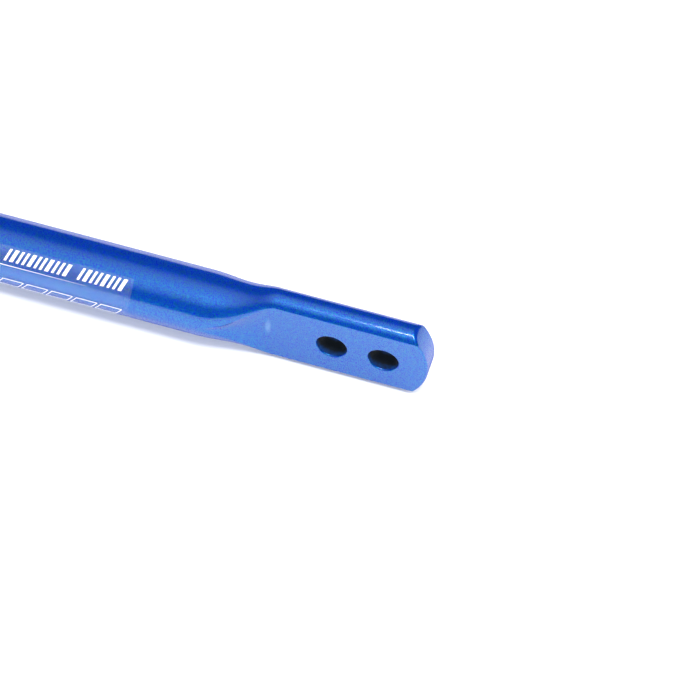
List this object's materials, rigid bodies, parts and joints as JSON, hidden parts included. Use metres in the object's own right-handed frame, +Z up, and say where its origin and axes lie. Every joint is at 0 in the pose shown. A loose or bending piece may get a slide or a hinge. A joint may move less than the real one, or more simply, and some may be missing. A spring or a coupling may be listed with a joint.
{
  "type": "vehicle sway bar",
  "caption": "U-shaped hollow anti-roll bar with flattened, drilled blade ends, split bushes in saddle brackets, grease nipples and clamp-on lock collars.",
  "frame": {"origin": "on the surface the assembly lies on, under the middle of its bounding box; feet, bush bases and blade lower edges share that plane", "axes": "+X along the centre section, +Y towards the front with both arms pointing to -Y, +Z up from the saddle feet"},
  "size_m": [1.0105, 0.378, 0.054],
  "materials": {
    "bar_paint": "metallic blue paint under clear coat",
    "bush_polyurethane": "moulded black polyurethane, satin",
    "saddle_zinc": "pressed steel, bright zinc plated",
    "nipple_steel": "turned steel, yellow zinc plated",
    "collar_aluminium": "machined aluminium, clear anodised",
    "fastener_steel": "black oxide alloy steel",
    "washer_steel": "plain spring steel",
    "label_film": "clear film with white printed marks"
  },
  "bodies": {
    "left_mount": {"bush_left": "bush_polyurethane", "saddle_left": "saddle_zinc", "grease_nipple_left": "nipple_steel"},
    "bar": {"bar": "bar_paint", "collar_upper_left": "collar_aluminium", "collar_lower_left": "collar_aluminium", "collar_upper_right": "collar_aluminium", "collar_lower_right": "collar_aluminium", "collar_screw_left_front": "fastener_steel", "collar_screw_left_rear": "fastener_steel", "collar_screw_right_front": "fastener_steel", "collar_screw_right_rear": "fastener_steel", "spring_washer_left_front": "washer_steel", "spring_washer_left_rear": "washer_steel", "spring_washer_right_front": "washer_steel", "spring_washer_right_rear": "washer_steel", "label_film": "label_film"},
    "right_mount": {"bush_right": "bush_polyurethane", "saddle_right": "saddle_zinc", "grease_nipple_right": "nipple_steel"}
  },
  "joints": [
    {"name": "bar_turn", "type": "hinge", "parent": "left_mount", "child": "bar", "pos_m": [-0.3, 0.136, 0.01787], "axis": [1, 0, 0], "range_deg": [-16, 16]},
    {"name": "right_mount_turn", "type": "hinge", "parent": "bar", "child": "right_mount", "pos_m": [0.3, 0.136, 0.01787], "axis": [1, 0, 0], "range_deg": [-16, 16]}
  ],
  "couplings": [
    {"joint": "right_mount_turn", "follows": "bar_turn", "ratio": -1}
  ]
}
